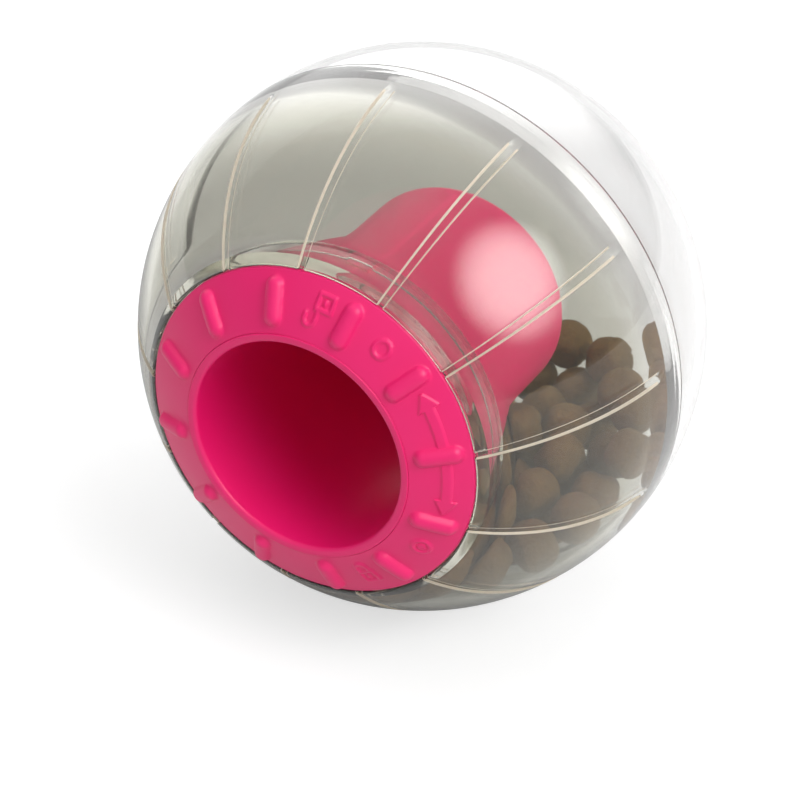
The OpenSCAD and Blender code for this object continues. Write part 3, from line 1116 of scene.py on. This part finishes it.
pile = bmesh.new()
baked_layer = pile.verts.layers.float.new(BAKED)
for number, (middle, axes, halves) in enumerate(lies):
    first = len(pile.verts)
    pile.from_mesh(pillow_mesh)
    pile.verts.ensure_lookup_table()
    shift = Vector([number * step for step in NOISE_STEP])
    bake = noise.noise(shift * BAKE_SPREAD) * 0.5 + 0.5
    for vert in pile.verts[first:]:
        spot = Vector()
        for axis, share, half in zip(axes, vert.co, halves):
            spot += axis * (share * half * PILLOW_FILL)
        lump = noise.noise(spot / LUMP_SIZE + shift) * LUMP
        crumb = noise.noise(spot / CRUMB_SIZE + shift * CRUMB_SPREAD) * CRUMB
        reach = min(spot.length + lump + crumb, MOST_REACH)
        vert.co = middle + spot * (reach / spot.length)
        vert[baked_layer] = bake
bpy.data.meshes.remove(pillow_mesh)
bmesh.ops.recalc_face_normals(pile, faces=pile.faces)
bmesh.ops.transform(pile, matrix=LAY_DOWN.inverted(), verts=pile.verts)
piece("treat_pile", pile, [treat_crust], "ball", "treats", sharp=NO_CORNER)

# %% [markdown]
# ## Floor and light
#
# The ball stands on a plain pale floor. For the camera the floor glows, so that it comes out white and
# keeps a light shadow. What is mirrored in the plastic or seen through it shows that glow too, but under
# the ball and in a patch behind it, on the side away from the key light, the glow fades: a painted shadow
# of the ball. Far from the ball the floor is plain white for all of these.

# %% Lay the floor
FLOOR_SIZE = 8
FLOOR_GLOW = 0.6
FLOOR_PALE = (0.5, 0.5, 0.5)
# Each of these has a middle on the floor, and a near and a far distance from it, in metres.
# Painted shadow: the glow that the plastic mirrors and lets through fades under the ball and beside it.
PAINTED_SHADE_UNDER_BALL = ((0, 0), 0.02, 0.07)
PAINTED_SHADOW_BESIDE_BALL = ((-0.087, 0.083), 0.05, 0.13)
FAR_FLOOR = ((0, 0), 0.15, 0.6)
floor_height = cad_box[0].z


def rays_of(wire, *kinds):
    """1 for rays of some kinds, such as those from the camera."""
    total = sum(wire.node("ShaderNodeLightPath", {}, {}, f"Is {kind} Ray") for kind in kinds)
    return wire.maths("MINIMUM", total, 1)


def clear_of(place, middle, near, far):
    """0 close to a point of the floor, and 1 far from it."""
    inputs = {0: place, 1: (*middle, floor_height)}
    distance = place.node("ShaderNodeVectorMath", {"operation": "DISTANCE"}, inputs, "Value")
    return smooth_range(distance, near, far)


floor_finish, place = start_finish("pale_floor")
from_camera = rays_of(place, "Camera")
through_plastic = rays_of(place, "Glossy", "Transmission")
pale = place.node("ShaderNodeBsdfDiffuse", {}, {"Color": (*FLOOR_PALE, 1)})
# Painted shadow of the ball, in the glow that is mirrored in the plastic and seen through it.
outside_painted_shade = clear_of(place, *PAINTED_SHADE_UNDER_BALL) * clear_of(place, *PAINTED_SHADOW_BESIDE_BALL)
glow_rays = from_camera + through_plastic * (1 - from_camera) * outside_painted_shade
glow = place.node("ShaderNodeEmission", {}, {"Strength": glow_rays * FLOOR_GLOW})
near_floor = place.node("ShaderNodeAddShader", {}, {0: pale, 1: glow})
white = place.node("ShaderNodeEmission", {}, {})
far_share = clear_of(place, *FAR_FLOOR) * rays_of(place, "Camera", "Glossy", "Transmission")
show(place.node("ShaderNodeMixShader", {}, {0: far_share, 1: near_floor, 2: white}))

floor_bm = bmesh.new()
bmesh.ops.create_grid(floor_bm, x_segments=1, y_segments=1, size=FLOOR_SIZE / 2)
bmesh.ops.translate(floor_bm, vec=(0, 0, floor_height), verts=floor_bm.verts)
floor_mesh = mesh_of("floor", floor_bm)
floor_mesh.materials.append(floor_finish)
floor = in_scene("floor", floor_mesh)
print(f"Floor at {floor_height / MM:.1f} mm")

# %% [markdown]
# A ball of clear plastic mirrors every lamp round it, and a lamp with a hard edge would show as a bright
# square. So the light comes from soft round spots that are painted into the world: a key from the right, a
# weaker fill from the front, a wide one overhead that is kept out of the gloss, and even light all round. A
# white card behind the ball shows only in its gloss.

# %% Hang the lights
EVEN_LIGHT = 0.4
# Each spot has the direction it comes from, its inner and outer angle in degrees, and its strength.
KEY_LIGHT = ((0.74, -0.17, 0.65), 6, 26, 8.6)
FILL_LIGHT = ((0.05, -0.88, 0.47), 12, 34, 0.55)
OVERHEAD = ((-0.3, 0.15, 0.94), 15, 50, 1.2)
WHITE_CARD = ((-0.42, 0.77, 0.44), 14, 42, 2.6)

world = bpy.data.worlds.new("studio")
world.use_nodes = True
world.node_tree.nodes.clear()
ray = Wire(world.node_tree).node("ShaderNodeTexCoord", {}, {}, "Generated")


def soft_spot(towards, inner, outer, strength):
    """A round light in the world that fades between two angles from its middle."""
    axis = Vector(towards).normalized()
    near = ray.node("ShaderNodeVectorMath", {"operation": "DOT_PRODUCT"}, {0: ray, 1: axis}, "Value")
    limits = {0: near, 1: math.cos(math.radians(outer)), 2: math.cos(math.radians(inner)), 4: strength}
    return ray.node("ShaderNodeMapRange", {"interpolation_type": "SMOOTHSTEP"}, limits)


mirrored = rays_of(ray, "Glossy")
seen = rays_of(ray, "Camera")
lamps = soft_spot(*KEY_LIGHT) + soft_spot(*FILL_LIGHT) + EVEN_LIGHT
lamps = lamps + soft_spot(*OVERHEAD) * (1 - mirrored) + soft_spot(*WHITE_CARD) * mirrored
strength = lamps * (1 - seen) + seen
show(ray.node("ShaderNodeBackground", {}, {"Strength": strength}))
bpy.context.scene.world = world
bpy.context.scene.view_settings.view_transform = "Standard"
print("Light from the right, the front and all round")
